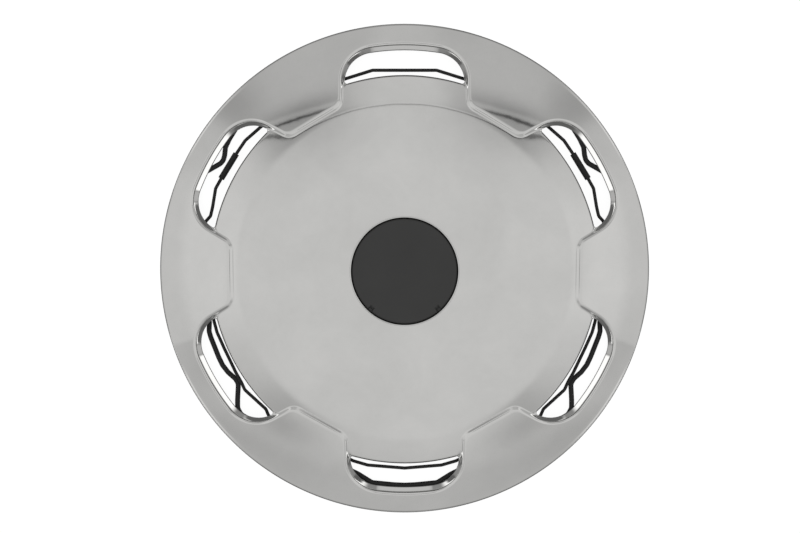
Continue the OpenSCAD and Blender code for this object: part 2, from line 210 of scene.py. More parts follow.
def cut_edge_painted_dark():
    """The punched and deburred edges and the dish's rolled edge at the windows, in a rough dark metal: painted shade, a
    dark base colour that stands in for the shade and dark reflection along these edges.
    """
    m, nt, b = material("cut_edge_painted_shade")
    co = object_coords(nt)
    b.inputs["Metallic"].default_value = 1.0
    cloud = noise(nt, co, 180.0, 4.0, 0.6)
    # painted shade: a base colour about a third of the polished steel's, so these edges show as a dark line
    col = ramp(nt, cloud, [(0.3, (0.175, 0.174, 0.170)), (0.7, (0.215, 0.213, 0.209))])
    nt.links.new(col, b.inputs["Base Color"])
    rough = math_node(nt, "ADD", math_node(nt, "MULTIPLY", noise(nt, co, 700.0, 3.0, 0.6), 0.2), 0.24)
    nt.links.new(rough, b.inputs["Roughness"])
    bump = node(nt, "ShaderNodeBump", {"Height": noise(nt, co, 900.0, 3.0, 0.6), "Strength": 0.1, "Distance": 0.00005})
    nt.links.new(bump.outputs[0], b.inputs["Normal"])
    return m


def cap_plastic():
    m, nt, b = material("moulded_black_plastic")
    co = object_coords(nt)
    broad = noise(nt, co, 22.0, 3.0, 0.5)
    grain = noise(nt, co, 1500.0, 2.0, 0.5)
    v = math_node(nt, "ADD", math_node(nt, "MULTIPLY", broad, 0.010), 0.029)
    col = node(nt, "ShaderNodeCombineColor", {0: v, 1: v, 2: math_node(nt, "MULTIPLY", v, 0.985)}).outputs[0]
    nt.links.new(col, b.inputs["Base Color"])
    rough = math_node(nt, "ADD", math_node(nt, "MULTIPLY", grain, 0.14), 0.44)
    nt.links.new(rough, b.inputs["Roughness"])
    bump = node(nt, "ShaderNodeBump", {"Height": grain, "Strength": 0.25, "Distance": 0.00006})
    nt.links.new(bump.outputs[0], b.inputs["Normal"])
    b.inputs["Specular IOR Level"].default_value = 0.3
    return m


def coated_wire(name, base):
    m, nt, b = material(name)
    co = object_coords(nt)
    n1 = noise(nt, co, 120.0, 4.0, 0.6)
    col = ramp(nt, n1, [(0.3, grey(base * 0.8)), (0.7, grey(base * 1.25))])
    nt.links.new(col, b.inputs["Base Color"])
    rough = math_node(nt, "ADD", math_node(nt, "MULTIPLY", n1, 0.25), 0.42)
    nt.links.new(rough, b.inputs["Roughness"])
    b.inputs["Specular IOR Level"].default_value = 0.2
    bump = node(nt, "ShaderNodeBump", {"Height": noise(nt, co, 700.0, 3.0, 0.6), "Strength": 0.2, "Distance": 0.00015})
    nt.links.new(bump.outputs[0], b.inputs["Normal"])
    return m


def rolled_strip():
    m, nt, b = material("rolled_steel_strip")
    co = object_coords(nt)
    b.inputs["Metallic"].default_value = 1.0
    cloud = noise(nt, co, 60.0, 4.0, 0.6)
    col = ramp(nt, cloud, [(0.3, (0.47, 0.465, 0.455)), (0.7, (0.56, 0.555, 0.54))])
    nt.links.new(col, b.inputs["Base Color"])
    rough = math_node(nt, "ADD", math_node(nt, "MULTIPLY", noise(nt, co, 400.0, 3.0, 0.6), 0.16), 0.24)
    nt.links.new(rough, b.inputs["Roughness"])
    bump = node(nt, "ShaderNodeBump", {"Height": noise(nt, co, 500.0, 3.0, 0.6), "Strength": 0.12, "Distance": 0.0001})
    nt.links.new(bump.outputs[0], b.inputs["Normal"])
    return m


STEEL = polished_steel()
EDGE_PAINTED_SHADE = cut_edge_painted_dark()
PLASTIC = cap_plastic()
WIRE = coated_wire("black_coated_wire", 0.016)
SLEEVE = coated_wire("black_coated_sleeve", 0.013)
STRIP = rolled_strip()

# ------------------------------------------------------------------ the cover's sheet
CU = LOBE_W - LOBE_C
CV = math.sqrt((WIN_R - LOBE_C) ** 2 - CU ** 2)
CA = math.atan(CU / CV)
FU = LOBE_W + TONGUE_F
FV = (TONGUE_R + TONGUE_F - FU / 2) / math.cos(pi / 6)
PU = LOBE_W - WALL_S - PUNCH
PV = math.sqrt((EDGE_R + PUNCH) ** 2 - PU ** 2)
PA = pi / 2 + math.atan(PU / PV)
EASE = 0.3          # radius broken on the punched edges
PAINTED_SHADE_ROWS = 3      # rows of the dish's rolled edge that get the dark edge colour, painted shade
N_ARC, N_COR, N_S1, N_PUN, N_S2, N_FIL, N_TIP = 7, 16, 1, 4, 4, 6, 5


def on_punch(f, extra=EASE):
    a = PA * f
    return PU + (PUNCH + extra) * math.cos(a), PV - (PUNCH + extra) * math.sin(a)


def outline():
    """Columns of half a sector, window's middle to tongue's middle: u, v, inward normal, wall width, punch fraction."""
    c = []
    for k in range(N_ARC):
        a = CA * k / N_ARC
        c.append((WIN_R * math.sin(a), WIN_R * math.cos(a), -math.sin(a), -math.cos(a), WALL_W, None))
    for k in range(N_COR):
        f = k / N_COR
        a = CA + (pi / 2 - CA) * f
        c.append((CU + LOBE_C * math.sin(a), CV + LOBE_C * math.cos(a), -math.sin(a), -math.cos(a), WALL_W + (WALL_S - WALL_W) * f, None))
    for k in range(N_S1):
        c.append((LOBE_W, CV + (PV - CV) * k / N_S1, -1.0, 0.0, WALL_S, None))
    for k in range(N_PUN + 1):
        c.append((LOBE_W, PV - PUNCH * 0.6 * k / N_PUN, -1.0, 0.0, WALL_S, k / (2 * N_PUN + 1)))
    v0 = PV - PUNCH * 0.6
    for k in range(1, N_S2):
        c.append((LOBE_W, v0 + (FV - v0) * k / N_S2, -1.0, 0.0, None, None))
    for k in range(N_FIL + 1):
        a = pi / 3 * k / N_FIL
        c.append((FU - TONGUE_F * math.cos(a), FV - TONGUE_F * math.sin(a), -math.cos(a), -math.sin(a), None, None))
    pu, pv = c[-1][0], c[-1][1]
    for k in range(1, N_TIP + 1):
        f = k / N_TIP
        c.append((pu + (TONGUE_R * 0.5 - pu) * f, pv + (TONGUE_R * math.cos(pi / 6) - pv) * f, -0.5, -math.cos(pi / 6), None, None))
    return c


HALF = outline()
HN = len(HALF) - 1
HC = N_ARC + N_COR + N_S1 + N_PUN
UV = np.array([(c[0], c[1]) for c in HALF])
ARC_S = np.concatenate([[0], np.cumsum(np.hypot(*(UV[1:] - UV[:-1]).T))])
POLAR = np.arctan2(UV[:, 0], UV[:, 1])
TURN = (POLAR + pi / 6 * ARC_S / ARC_S[-1]) / 2
EDGE_A = math.atan2(*on_punch(1.0))


def edge_start(i):
    """Where the dish begins at column i, in plan."""
    u, v, nu, nv, w, f = HALF[i]
    if f is not None:
        return on_punch(1 - f)
    if i < HC:
        a = EDGE_A * TURN[i] / TURN[HC - N_PUN]
        return (EDGE_R - EASE) * math.sin(a), (EDGE_R - EASE) * math.cos(a)
    return u + 3.7 * nu, v + 3.7 * nv


F_DISH = [0, .013, .026, .04, .054, .068, .1, .17, .26, .36, .46, .55, .62, .68, .73, .78, .83, .88, .94, 1.0]
R_DISH = [176, 166, 154, 142, 130, 118, 106, 94, 84, 75, 68.5, 64.5, 62.1]


LIP_IN = 0.85      # the recess stands this much closer round the cap


def recess():
    """Profile of the recess round the cap, from the dome to the hole: radius, height."""
    t0 = math.atan(S_IN)
    c = (DOME_R - LIP_IN - 1.7 * math.sin(t0), DOME_Z + LIP_IN * S_IN - 1.7 * math.cos(t0))
    p = [(c[0] + 1.7 * math.sin(t), c[1] + 1.7 * math.cos(t)) for t in np.linspace(t0, -math.radians(82), 8)]
    p += [(r - LIP_IN, SEAT_Z + z) for r, z in ((60.33, 0.62), (60.24, 0.3), (60.0, 0.08), (59.7, 0))] + [(HOLE_R + 0.3, SEAT_Z)]
    return p


RECESS = recess()


def column(i):
    u, v, nu, nv, w, f = HALF[i]
    s, c = math.sin(TURN[i]), math.cos(TURN[i])
    rows = []
    circ = lambda r, z: rows.append((r * s, r * c, z))
    circ(R - CURL - HEM, 0.0)
    circ(R - CURL - 1.4, 0.0)
    for a in (-90, -60, -30, 0):
        circ(R - CURL + CURL * math.cos(math.radians(a)), CURL + CURL * math.sin(math.radians(a)))
    for a in np.linspace(0, 90 - math.degrees(LEAN), 7)[1:]:
        circ(R - RIM_R + RIM_R * math.cos(math.radians(a)), SHOULDER_Z + RIM_R * math.sin(math.radians(a)))
    p0 = np.array([BAND_R * s, BAND_R * c])
    p1 = np.array([u - HALF_BEND * nu, v - HALF_BEND * nv])
    for g in (.07, .15, .24, .33, .43, .53, .63, .73, .82, .90, .96, 1.0):
        p = p0 + (p1 - p0) * g
        rows.append((p[0], p[1], float(band_z(math.hypot(*p)))))
    for d in (-1.5, -1.2, -.9, -.6, -.3, 0, .3, .6, .9, 1.2, 1.5, 1.8):
        x, y = u + d * nu, v + d * nv
        rows.append((x, y, float(skin_z(math.hypot(x, y), np.float64(d)))))
    if f is not None:
        end = np.array(on_punch(f))
    else:
        wd = (w - EASE) if w is not None else 3.4
        end = np.array([u + wd * nu, v + wd * nv])
    a0 = np.array([u + HALF_BEND * nu, v + HALF_BEND * nv])
    for g in (1 / 6, 2 / 6, 3 / 6, 4 / 6, 5 / 6, 1.0):
        p = a0 + (end - a0) * g
        d = (p[0] - u) * nu + (p[1] - v) * nv
        rows.append((p[0], p[1], float(skin_z(math.hypot(*p), np.float64(d)))))
    jg = len(rows) - 1
    e = edge_start(i)
    ea, er = math.atan2(*e), math.hypot(*e)
    for g in F_DISH:
        a, r = ea + (TURN[i] - ea) * g, er + (DISH_R - er) * g
        rows.append((r * math.sin(a), r * math.cos(a), float(floor_z(r))))
    for r in R_DISH:
        circ(r, float(floor_z(r)))
    for r, z in RECESS:
        circ(r, z)
    return rows, jg


COLS_H = [column(i) for i in range(HN + 1)]
JG = COLS_H[0][1]
H = np.array([c[0] for c in COLS_H])            # half sector: column, row, xyz
JN = H.shape[1]


def turn_of(a, m):
    """How far a column of the sector at angle a is turned: the side windows up, the top one's halves apart."""
    half = (m > 0) - (m < 0)
    side = half if a == 90 else -half if a == 270 else 1 if 90 < a < 270 else -1
    return side * (SIDE_TURN if m == -HN else TOP_TURN if a == 90 else BOTTOM_TURN if a == 270 else SIDE_TURN)


def full_circle():
    cols, idx = [], []
    for sector in range(30, 360, 60):
        for m in range(-HN, HN):
            a = math.radians(sector + turn_of(sector, m))
            ca, sa = math.cos(a), math.sin(a)
            p = H[abs(m)].copy()
            if m < 0:
                p[:, 0] *= -1
            x = p[:, 1] * ca - p[:, 0] * sa
            y = p[:, 1] * sa + p[:, 0] * ca
            cols.append(np.stack([x, y, p[:, 2]], 1))
            idx.append(m)
    return np.array(cols), np.array(idx)


TOP, COL_M = full_circle()
CN = len(TOP)
AT = np.abs(COL_M) <= HC


def grid_normals(G):
    """Unit normals of the sheet's outer face on the grid, with one-sided steps at the windows' edges."""
    dc = np.roll(G, -1, 0) - np.roll(G, 1, 0)
    dr = np.empty_like(G)
    dr[:, 1:-1] = G[:, 2:] - G[:, :-2]
    dr[:, 0] = G[:, 1] - G[:, 0]
    dr[:, -1] = G[:, -1] - G[:, -2]
    dr[AT, JG] = G[AT, JG] - G[AT, JG - 1]
    dr[AT, JG + 1] = G[AT, JG + 2] - G[AT, JG + 1]
    n = np.cross(dc, dr)
    n /= np.linalg.norm(n, axis=2, keepdims=True)
    return n


NRM = grid_normals(TOP)
NRM[:, 0] = NRM[:, 1] = (0, 0, -1)
NRM[:, -1] = (0, 0, 1)
BACK = TOP - T * NRM


def build_shell():
    t = lambda i, j: (i % CN) * JN + j
    b = lambda i, j: CN * JN + (i % CN) * JN + j
    verts = [tuple(p) for p in TOP.reshape(-1, 3)] + [tuple(p) for p in BACK.reshape(-1, 3)]
    faces, shade_faces = [], []
    for i in range(CN):
        i2 = (i + 1) % CN
        gap = AT[i] and AT[i2]
        deep = gap and abs(COL_M[i]) < HC - N_PUN and abs(COL_M[i2]) < HC - N_PUN
        for j in range(JN - 1):
            if j == JG and gap:
                continue
            # the dish's rolled edge at the windows gets the dark edge colour, painted shade
            if deep and JG < j < JG + 1 + PAINTED_SHADE_ROWS:
                shade_faces.append(len(faces))
            faces.append((t(i, j), t(i, j + 1), t(i2, j + 1), t(i2, j)))
            faces.append((b(i, j), b(i2, j), b(i2, j + 1), b(i, j + 1)))
        faces.append((t(i, 0), t(i2, 0), b(i2, 0), b(i, 0)))
        faces.append((t(i, JN - 1), b(i, JN - 1), b(i2, JN - 1), t(i2, JN - 1)))
    # the punched edges: one loop round each window, with its corners broken
    for k in range(6):
        base = 2 * HN * k + HN
        outer = [(base + m) % CN for m in range(-HC, HC + 1)]
        loop = [(i, JG) for i in outer] + [(i, JG + 1) for i in reversed(outer)]
        P = np.array([TOP[i, j] for i, j in loop])
        Nn = np.array([NRM[i, j] for i, j in loop])
        tan = np.roll(P, -1, 0) - np.roll(P, 1, 0)
        e = np.cross(Nn, tan)
        e /= np.linalg.norm(e, axis=1, keepdims=True)
        mid = P.mean(0)
        if np.sum(e * (mid - P)) < 0:
            e = -e
        rings = []
        steps = []
        for a in (30, 60, 90):
            a = math.radians(a)
            steps.append((EASE * math.sin(a), -EASE * (1 - math.cos(a))))
        for a in (90, 60, 30):
            a = math.radians(a)
            steps.append((EASE * math.sin(a), -T + EASE * (1 - math.cos(a))))
        for out, down in steps:
            start = len(verts)
            verts.extend(tuple(p) for p in P + out * e + down * Nn)
            rings.append([start + q for q in range(len(loop))])
        rings = [[t(i, j) for i, j in loop]] + rings + [[b(i, j) for i, j in loop]]
        n = len(loop)
        for a, c in zip(rings[:-1], rings[1:]):
            for q in range(n):
                q2 = (q + 1) % n
                # the punched edges get the dark edge colour, painted shade
                shade_faces.append(len(faces))
                faces.append((a[q], a[q2], c[q2], c[q]))
    return verts, faces, shade_faces


def consistent(me):
    bm = bmesh.new()
    bm.from_mesh(me)
    bmesh.ops.recalc_face_normals(bm, faces=bm.faces)
    bm.to_mesh(me)
    bm.free()


SV, SF, PAINTED_SHADE_FACES = build_shell()
shell = new_object("cover_sheet", SV, SF, STEEL, replaces=["cover_shell"], sharp=50)
# second slot: the dark edge colour, painted shade along the punched and rolled edges
shell.data.materials.append(EDGE_PAINTED_SHADE)
if len(shell.data.polygons) == len(SF):
    for k in PAINTED_SHADE_FACES:
        shell.data.polygons[k].material_index = 1
consistent(shell.data)
shell.data.set_sharp_from_angle(angle=math.radians(50))

# ------------------------------------------------------------------ lathe and sweep


def lathe(profile, n, closed=True, turn=None):
    """Points and faces of a closed profile (radius, height) turned about the axis. turn changes a ring's points."""
    verts, faces = [], []
    m = len(profile)
    for i in range(n):
        a = 2 * pi * i / n
        for k, (r, z) in enumerate(profile):
            if turn:
                r, z = turn(a, k, r, z)
            verts.append((r * math.cos(a), r * math.sin(a), z))
    for i in range(n):
        i2 = (i + 1) % n
        for k in range(m if closed else m - 1):
            k2 = (k + 1) % m
            faces.append((i * m + k, i2 * m + k, i2 * m + k2, i * m + k2))
    return verts, faces


def frames(path, closed):
    n = len(path)
    tang = []
    for i in range(n):
        a = path[(i - 1) % n] if closed or i > 0 else path[i]
        c = path[(i + 1) % n] if closed or i < n - 1 else path[i]
        d = c - a
        tang.append(d / np.linalg.norm(d))
    return np.array(tang)


def fillet(points, radius, closed, step=7.0):
    """A bent wire's centreline: each corner of the route becomes an arc."""
    p = [np.array(q, float) for q in points]
    n = len(p)
    out = []
    for i in range(n):
        if not closed and i in (0, n - 1):
            out.append(p[i])
            continue
        a, b, c = p[(i - 1) % n], p[i], p[(i + 1) % n]
        u, v = (b - a) / np.linalg.norm(b - a), (c - b) / np.linalg.norm(c - b)
        turn = math.acos(max(-1.0, min(1.0, float(u @ v))))
        if turn < math.radians(1.0):
            out.append(b)
            continue
        cut = min(radius * math.tan(turn / 2), 0.46 * np.linalg.norm(b - a), 0.46 * np.linalg.norm(c - b))
        r = cut / math.tan(turn / 2)
        k = max(2, int(math.ceil(math.degrees(turn) / step)))
        side = np.array([-u[1], u[0]]) if u[0] * v[1] - u[1] * v[0] > 0 else np.array([u[1], -u[0]])
        centre = b - u * cut + side * r
        for s in range(k + 1):
            t = turn * s / k
            out.append(centre - side * r * math.cos(t) + u * r * math.sin(t))
    return np.array(out)


def in_window(x, y):
    """1 in the windows, 0 behind the tongues, where the brackets are."""
    a = math.degrees(math.atan2(y, x)) % 60
    w = min(max((min(a, 60 - a) - 7.5) / 4, 0), 1)
    return w * w * (3 - 2 * w)


def sweep(path2, z, r, closed, sides=20, extra=0.0):
    path = np.array([(x, y, z) for x, y in path2])
    rad = [r + extra * in_window(x, y) for x, y in path2]
    tang = frames(path, closed)
    verts, faces = [], []
    n = len(path)
    for i in range(n):
        s = np.array([tang[i][1], -tang[i][0], 0.0])
        for k in range(sides):
            a = 2 * pi * k / sides
            verts.append(path[i] + s * rad[i] * math.cos(a) + np.array([0, 0, r * math.sin(a)]))
    for i in range(n if closed else n - 1):
        i2 = (i + 1) % n
        for k in range(sides):
            k2 = (k + 1) % sides
            faces.append((i * sides + k, i2 * sides + k, i2 * sides + k2, i * sides + k2))
    if not closed:
        for end, sign in ((0, 1), (n - 1, -1)):
            ring = [end * sides + k for k in range(sides)]
            faces.append(tuple(ring if sign > 0 else reversed(ring)))
    return verts, faces


# ------------------------------------------------------------------ centre cap
cap_r = CAP_D / 2
EDGE_ROUND = 3.0
cap_profile = [(cap_r - 6, 0.0), (cap_r - 0.3, 0.0), (cap_r - 0.08, 0.08), (cap_r, 0.3)]
for a in np.radians(np.linspace(0, 84, 12)):
    cap_profile.append((cap_r - EDGE_ROUND * (1 - math.cos(a)), CAP_H - EDGE_ROUND * (1 - math.sin(a))))
top0 = cap_profile[-1]
N_FACE = 16
for k in range(1, N_FACE + 1):
    r = top0[0] * (1 - k / N_FACE) + 0.6 * (k / N_FACE)
    cap_profile.append((r, CAP_H + CROWN * (1 - (r / top0[0]) ** 2)))
LEG = HOLE_R - 0.5
NOTCH_AT = (-131.8, -48.2)


def cap_mesh():
    """The crowned face with its rolled edge and pry notches, closed by a flat underside 2.4 mm below."""
    n = 288
    m = len(cap_profile)
    verts, faces = [], []

    def shape(a, r, z):
        deg = math.degrees(a)
        for at in NOTCH_AT:
            d = abs((deg - at + 180) % 360 - 180)
            half = math.degrees(NOTCH / 2 / cap_r)
            g = min(max((half + 0.55 - d) / 0.9, 0), 1)
            g = g * g * (3 - 2 * g)
            if g > 0 and r > cap_r - 5.2:
                # pushed in and down
                k = min(max((r - (cap_r - 5.0)) / 0.5, 0), 1)
                z = z - g * k * max(z - (CAP_H - 3.2), 0)
        return r, z

    for i in range(n):
        a = 2 * pi * i / n
        for r, z in cap_profile:
            r2, z2 = shape(a, r, z)
            verts.append((r2 * math.cos(a), r2 * math.sin(a), SEAT_Z + z2))
    for i in range(n):
        i2 = (i + 1) % n
        for k in range(m - 1):
            faces.append((i * m + k, i2 * m + k, i2 * m + k + 1, i * m + k + 1))
    c = len(verts)
    verts.append((0, 0, SEAT_Z + CAP_H + CROWN))
    for i in range(n):
        faces.append((i * m + m - 1, ((i + 1) % n) * m + m - 1, c))
    # underside
    under = []
    for r, z in ((cap_r - 6, CAP_H - 2.4), (cap_r * 0.6, CAP_H - 2.4 + 0.5 * CROWN), (cap_r * 0.25, CAP_H - 2.4 + 0.8 * CROWN)):
        start = len(verts)
        under.append(start)
        for i in range(n):
            a = 2 * pi * i / n
            verts.append((r * math.cos(a), r * math.sin(a), SEAT_Z + z))
    ring0 = [i * m for i in range(n)]
    rings = [ring0] + [[s + i for i in range(n)] for s in under]
    for a_, b_ in zip(rings[:-1], rings[1:]):
        for i in range(n):
            i2 = (i + 1) % n
            faces.append((a_[i], b_[i], b_[i2], a_[i2]))
    c = len(verts)
    verts.append((0, 0, SEAT_Z + CAP_H - 2.4 + 0.85 * CROWN))
    for i in range(n):
        faces.append((rings[-1][i], c, rings[-1][(i + 1) % n]))
    return verts, faces


cv, cf = cap_mesh()
# the snap legs: eight curved fingers with a barb, standing on the cap's underside
LEG_P = [(LEG - 2, 2.5), (LEG, 2.5), (LEG, -T - 0.3), (LEG + 0.3, -T - 0.45), (HOLE_R + 0.8, -T - 0.95), (HOLE_R + 0.9, -T - 1.2),
         (HOLE_R + 0.9, -T - 1.9), (HOLE_R + 0.7, -T - 2.2), (LEG + 0.1, -7.7), (LEG - 0.3, -8.0), (LEG - 1.7, -8.0), (LEG - 2, -7.7)]
base = len(cv)
for k in range(8):
    mid = math.radians(45 * k)
    half = math.radians(22.5) - math.asin(13.0 / LEG)
    nn = 7
    start = len(cv)
    for s in range(nn):
        a = mid - half + 2 * half * s / (nn - 1)
        for r, z in LEG_P:
            cv.append((r * math.cos(a), r * math.sin(a), SEAT_Z + z))
    m = len(LEG_P)
    for s in range(nn - 1):
        for q in range(m):
            q2 = (q + 1) % m
            cf.append((start + s * m + q, start + (s + 1) * m + q, start + (s + 1) * m + q2, start + s * m + q2))
    cf.append(tuple(start + q for q in range(m)))
    cf.append(tuple(start + (nn - 1) * m + q for q in reversed(range(m))))
# the ring that the legs grow from
RING_P = [(LEG - 2, 1.0), (LEG, 1.0), (LEG, CAP_H - 2.1), (LEG - 2, CAP_H - 2.1)]
lv, lf = lathe([(r, SEAT_Z + z) for r, z in RING_P], 144)
off = len(cv)
cv.extend(lv)
cf.extend(tuple(off + q for q in f) for f in lf)
cap = new_object("cap_moulding", cv, cf, PLASTIC, replaces=["centre_cap"], sharp=35)
consistent(cap.data)
cap.data.set_sharp_from_angle(angle=math.radians(35))

# ------------------------------------------------------------------ wires


def behind(a, r, s):
    a = math.radians(a)
    return (r * math.cos(a) - s * math.sin(a), r * math.sin(a) + s * math.cos(a))


LOWER_R, SIDE_R, UPPER_R = (225, 238), (227, 238), (225, 262)
AT_LEFT, AT_UPPER, AT_LOWER = 180 + SIDE_TURN, 120 + SIDE_TURN, 240 + SIDE_TURN
CLAMP_LEFT = [(0, -252.5), (-12, -252), (-38, -249.5), (-54, -239.5), behind(AT_LOWER, LOWER_R[1], 20),
              behind(AT_LOWER, LOWER_R[1], -20), (-185, -173), (-191, -169.5), (-195, -162), (-195, -152),
              (-194, -133.5), (-197.5, -127.5), (-206, -120), (-212.5, -111.5), (-217, -102), (-226, -79),
              (-228, -72), (-227.5, -62), (-229, -50), behind(AT_LEFT, SIDE_R[1], 20), behind(AT_LEFT, SIDE_R[1], -20),
              (-243, 60), (-246, 96), (-242, 107), (-226.5, 116), (-214, 123), (-210.5, 127), (-209, 133),
              (-208, 142), (-203.5, 151.5), (-176, 196), behind(AT_UPPER, UPPER_R[1], 20),
              behind(AT_UPPER, UPPER_R[1], -20), (-76, 253), (-38, 262), (0, 265)]
SLEEVE_A, SLEEVE_B = (-195, 134), (-212.5, 105.5)
SLEEVE_M = ((SLEEVE_A[0] + SLEEVE_B[0]) / 2, (SLEEVE_A[1] + SLEEVE_B[1]) / 2)
LOWER_LEFT = [SLEEVE_M, SLEEVE_B, (-219, 94), (-222.5, 73), (-225, 62), (-231.5, 55),
              behind(AT_LEFT, SIDE_R[0], -20), behind(AT_LEFT, SIDE_R[0], 20),
              (-221.5, -60), (-218, -73), (-210, -91), (-196, -120.5), (-190, -131), (-186, -140), (-173.5, -151.5),
              (-161.5, -162.5), (-158, -171), behind(AT_LOWER, LOWER_R[0], -20), behind(AT_LOWER, LOWER_R[0], 20),
              (-60, -223), (-43, -228), (0, -231.5)]
UPPER_LEFT = [SLEEVE_M, SLEEVE_A, (-184.5, 149.5), (-165.5, 166),
              behind(AT_UPPER, UPPER_R[0], 20), behind(AT_UPPER, UPPER_R[0], -20), (-69, 220.5), (-37, 230.5)]
flip = lambda p: (-p[0], p[1])

clamp_route = CLAMP_LEFT + [flip(p) for p in reversed(CLAMP_LEFT[1:-1])]
v, f = sweep(fillet(clamp_route, 9.0, True), CLAMP_Z, CLAMP_D / 2, True, 22, 0.22)
clamp = new_object("clamp_spring_wire", v, f, WIRE, replaces=["clamp_wire"])
v, f = sweep(fillet(UPPER_LEFT + [flip(p) for p in reversed(UPPER_LEFT)], 7.0, False), RING_Z, RING_D / 2, False, 18, 0.18)
upper = new_object("upper_ring_spring", v, f, WIRE, replaces=["upper_ring_wire"])
v, f = sweep(fillet(LOWER_LEFT + [flip(p) for p in reversed(LOWER_LEFT[:-1])], 7.0, False), RING_Z, RING_D / 2, False, 18, 0.18)
lower = new_object("lower_ring_spring", v, f, WIRE, replaces=["lower_ring_wire"])


def sleeve(name, sign, replaces):
    """A tube crimped flat in two places over the wire's joint."""
    h, r, ri = SLEEVE_L / 2, SLEEVE_D / 2, RING_D / 2 + 0.1
    prof = [(ri, -h), (r - 0.5, -h), (r - 0.15, -h + 0.15), (r, -h + 0.5)]
    for z in np.linspace(-h + 1.5, h - 1.5, 30):
        prof.append((r, z))
    prof += [(r, h - 0.5), (r - 0.15, h - 0.15), (r - 0.5, h), (ri, h)]
    n = 32
    verts, faces = [], []
    dx, dy = (SLEEVE_A[0] - SLEEVE_B[0]), (SLEEVE_A[1] - SLEEVE_B[1])
    L = math.hypot(dx, dy)
    ax = np.array([dx / L, dy / L, 0.0])
    sd = np.array([-dy / L, dx / L, 0.0])
    for i in range(n):
        a = 2 * pi * i / n
        for rr, z in prof:
            k = math.exp(-((abs(z) - 7.5) / 1.6) ** 2) if rr > ri + 0.2 else 0.0
            cx = (rr + (0.2 if rr > ri + 0.2 else 0)) * math.cos(a)
            cz = rr * math.sin(a) * (1 - 0.13 * k)
            p = np.array([SLEEVE_M[0], SLEEVE_M[1], RING_Z]) + ax * z + sd * cx + np.array([0, 0, cz])
            verts.append((sign * p[0], p[1], p[2]))
    m = len(prof)
    for i in range(n):
        i2 = (i + 1) % n
        for k in range(m):
            k2 = (k + 1) % m
            faces.append((i * m + k, i2 * m + k, i2 * m + k2, i * m + k2))
    ob = new_object(name, verts, faces, SLEEVE, replaces=replaces)
    consistent(ob.data)
    ob.data.set_sharp_from_angle(angle=math.radians(40))
    ob.visible_glossy = False
    return ob


for w in (clamp, upper, lower):
    consistent(w.data)
    w.data.set_sharp_from_angle(angle=math.radians(40))
    w.visible_glossy = False
sleeve("left_crimp_sleeve", 1, ["left_sleeve"])
sleeve("right_crimp_sleeve", -1, ["right_sleeve"])

# ------------------------------------------------------------------ brackets: the CAD strip with its edges broken
for nm in ("right", "upper_right", "upper_left", "left", "lower_left", "lower_right"):
    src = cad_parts["bracket_" + nm]
    me = src.data.copy()
    bm = bmesh.new()
    bm.from_mesh(me)
    bmesh.ops.remove_doubles(bm, verts=bm.verts, dist=1e-6)
    bmesh.ops.dissolve_limit(bm, angle_limit=math.radians(0.5), verts=bm.verts, edges=bm.edges)
    bm.to_mesh(me)
    bm.free()
    me.materials.clear()
    me.materials.append(STRIP)
    ob = bpy.data.objects.new("strip_bracket_" + nm, me)
    bpy.context.scene.collection.objects.link(ob)
    mod = ob.modifiers.new("edges", "BEVEL")
    mod.width = 0.00025
    mod.segments = 2
    mod.limit_method = "ANGLE"
    mod.angle_limit = math.radians(40)
    dg = bpy.context.evaluated_depsgraph_get()
    done = bpy.data.meshes.new_from_object(ob.evaluated_get(dg))
    ob.modifiers.clear()
    ob.data = done
    done.shade_smooth()
    done.set_sharp_from_angle(angle=math.radians(35))
    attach(ob, "root")
    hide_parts("bracket_" + nm)

# ------------------------------------------------------------------ floor, light, camera
scene = bpy.context.scene
fm, nt, b = material("pale_floor")
co = object_coords(nt)
col = ramp(nt, noise(nt, co, 3.0, 2.0, 0.5), [(0.3, grey(0.11)), (0.7, grey(0.13))])
nt.links.new(col, b.inputs["Base Color"])
b.inputs["Roughness"].default_value = 0.9
b.inputs["Specular IOR Level"].default_value = 0.0
b.inputs["Emission Color"].default_value = (1, 1, 1, 1)
b.inputs["Emission Strength"].default_value = 0.94
me = bpy.data.meshes.new("floor")
S = 8.0
me.from_pydata([(-S, -S, -0.0003), (S, -S, -0.0003), (S, S, -0.0003), (-S, S, -0.0003)], [], [(0, 1, 2, 3)])
me.materials.append(fm)
floor = bpy.data.objects.new("floor", me)
scene.collection.objects.link(floor)
floor.visible_glossy = False

# a light tent, as radiance by direction: ceiling, darker walls towards +Y and -Y, brighter sides, seams where they meet
world = bpy.data.worlds.new("tent")
scene.world = world
world.use_nodes = True
nt = world.node_tree
for n in list(nt.nodes):
    nt.nodes.remove(n)
out = nt.nodes.new("ShaderNodeOutputWorld")
bg = nt.nodes.new("ShaderNodeBackground")
nt.links.new(bg.outputs[0], out.inputs[0])
sep = node(nt, "ShaderNodeSeparateXYZ", {0: node(nt, "ShaderNodeTexCoord").outputs["Generated"]})
X, Y, Z = sep.outputs[0], sep.outputs[1], sep.outputs[2]


def mth(op, a, b=None, clamp=False):
    return math_node(nt, op, a, b, clamp)


def smooth(x, lo, hi):
    """0 below lo, 1 above hi."""
    n = nt.nodes.new("ShaderNodeMapRange")
    n.interpolation_type = "SMOOTHSTEP"
    n.inputs["From Min"].default_value = lo
    n.inputs["From Max"].default_value = hi
    n.inputs["To Min"].default_value = 0.0
    n.inputs["To Max"].default_value = 1.0
    nt.links.new(x, n.inputs["Value"])
    return n.outputs[0]


def bump1(x, centre, width):
    """A smooth hill of height 1 at centre."""
    d = mth("DIVIDE", mth("SUBTRACT", x, centre), width)
    return mth("DIVIDE", 1.0, mth("ADD", 1.0, mth("MULTIPLY", mth("MULTIPLY", d, d), mth("MULTIPLY", d, d))))


